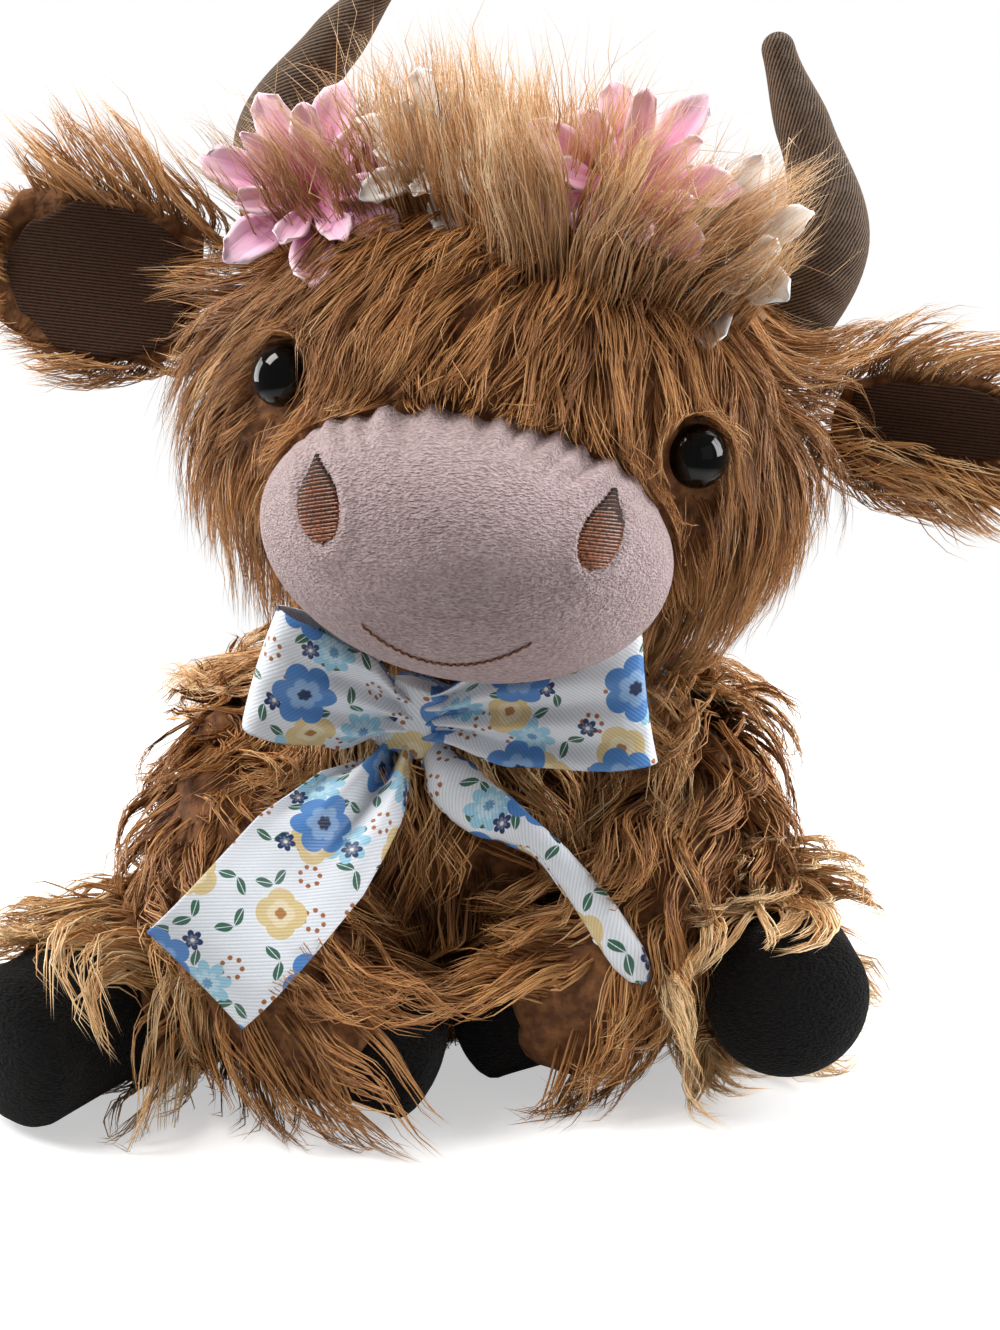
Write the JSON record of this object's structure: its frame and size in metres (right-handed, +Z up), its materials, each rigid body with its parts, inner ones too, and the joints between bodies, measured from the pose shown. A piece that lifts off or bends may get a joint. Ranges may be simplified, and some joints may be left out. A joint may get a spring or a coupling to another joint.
{
  "type": "plush cow",
  "caption": "Sitting plush cow with a shaggy long-pile coat, velour muzzle and hooves, cloth horns, a crown of cloth flowers and a printed ribbon bow.",
  "frame": {"origin": "centre of the flat seat, on the surface that the cow sits on", "axes": "+Z up, the face towards -Y, +X towards the cow's own left; the head is tilted towards +X at rest"},
  "size_m": [0.3334, 0.2993, 0.3274],
  "materials": {
    "long_pile": "long shaggy acrylic pile on a knitted backing, matte",
    "muzzle_velour": "short velour, matte",
    "hoof_velour": "short velour, matte",
    "horn_twill": "cotton twill, matte",
    "lining_twill": "cotton twill, matte",
    "thread": "embroidery thread, satin",
    "fibre": "polyester fibre filling",
    "pellets": "plastic pellets in a cloth bag",
    "eye": "polished",
    "washer": "moulded",
    "ribbon": "printed satin ribbon",
    "pink_petal": "cut cloth petals",
    "white_petal": "cut cloth petals",
    "cord": "twisted cord"
  },
  "bodies": {
    "torso": {"torso_cover": "long_pile", "torso_filling": "fibre", "pellet_bag": "pellets", "ribbon_band": "ribbon", "bow_knot": "ribbon", "bow_loop_left": "ribbon", "bow_loop_right": "ribbon", "bow_tail_left": "ribbon", "bow_tail_right": "ribbon"},
    "head": {"head_cover": "long_pile", "head_filling": "fibre", "muzzle_cover": "muzzle_velour", "muzzle_filling": "fibre", "mouth": "thread", "crown_cord": "cord", "nostril_left": "thread", "nostril_right": "thread", "eye_left": "eye", "eye_right": "eye", "eye_washer_left": "washer", "eye_washer_right": "washer", "horn_left": "horn_twill", "horn_right": "horn_twill", "horn_filling_left": "fibre", "horn_filling_right": "fibre", "flower_pink_left": "pink_petal", "flower_pink_right": "pink_petal", "flower_white_left": "white_petal", "flower_white_right": "white_petal"},
    "left_ear": {"ear_left": "long_pile", "ear_lining_left": "lining_twill"},
    "right_ear": {"ear_right": "long_pile", "ear_lining_right": "lining_twill"},
    "left_front_leg": {"front_leg_left": "long_pile", "front_leg_left_filling": "fibre", "front_hoof_left": "hoof_velour"},
    "right_front_leg": {"front_leg_right": "long_pile", "front_leg_right_filling": "fibre", "front_hoof_right": "hoof_velour"},
    "left_hind_leg": {"hind_leg_left": "long_pile", "hind_leg_left_filling": "fibre", "hind_hoof_left": "hoof_velour"},
    "right_hind_leg": {"hind_leg_right": "long_pile", "hind_leg_right_filling": "fibre", "hind_hoof_right": "hoof_velour"},
    "tail": {"tail": "long_pile", "tail_tuft": "long_pile"}
  },
  "joints": [
    {"name": "head_tilt", "type": "hinge", "parent": "torso", "child": "head", "pos_m": [-0.002, -0.014, 0.129], "axis": [0, 1, 0], "range_deg": [-16, 8], "stiffness_Nm_per_rad": 1.1, "deforming": ["bow_loop_left", "bow_loop_right"]},
    {"name": "ear_left_flop", "type": "hinge", "parent": "head", "child": "left_ear", "pos_m": [0.1102, -0.021, 0.1935], "axis": [0, 1, 0], "range_deg": [-20, 35], "stiffness_Nm_per_rad": 0.03},
    {"name": "ear_right_flop", "type": "hinge", "parent": "head", "child": "right_ear", "pos_m": [-0.08537, -0.021, 0.22798], "axis": [0, -1, 0], "range_deg": [-20, 35], "stiffness_Nm_per_rad": 0.03},
    {"name": "front_leg_left_swing", "type": "hinge", "parent": "torso", "child": "left_front_leg", "pos_m": [0.07064, -0.04115, 0.087], "axis": [-1, 0, 0], "range_deg": [0, 20], "stiffness_Nm_per_rad": 0.15, "deforming": ["bow_tail_left"]},
    {"name": "front_leg_right_swing", "type": "hinge", "parent": "torso", "child": "right_front_leg", "pos_m": [-0.07316, -0.04115, 0.087], "axis": [-1, 0, 0], "range_deg": [0, 20], "stiffness_Nm_per_rad": 0.15, "deforming": ["bow_tail_right"]},
    {"name": "hind_leg_left_splay", "type": "hinge", "parent": "torso", "child": "left_hind_leg", "pos_m": [0.07213, -0.0417, 0.034], "axis": [0, 0, 1], "range_deg": [0, 25], "stiffness_Nm_per_rad": 0.3},
    {"name": "hind_leg_right_splay", "type": "hinge", "parent": "torso", "child": "right_hind_leg", "pos_m": [-0.07311, -0.0417, 0.034], "axis": [0, 0, -1], "range_deg": [0, 25], "stiffness_Nm_per_rad": 0.3},
    {"name": "tail_lift", "type": "hinge", "parent": "torso", "child": "tail", "pos_m": [-0.00072, 0.06789, 0.05], "axis": [1, 0, 0], "range_deg": [0, 60], "stiffness_Nm_per_rad": 0.03}
  ]
}
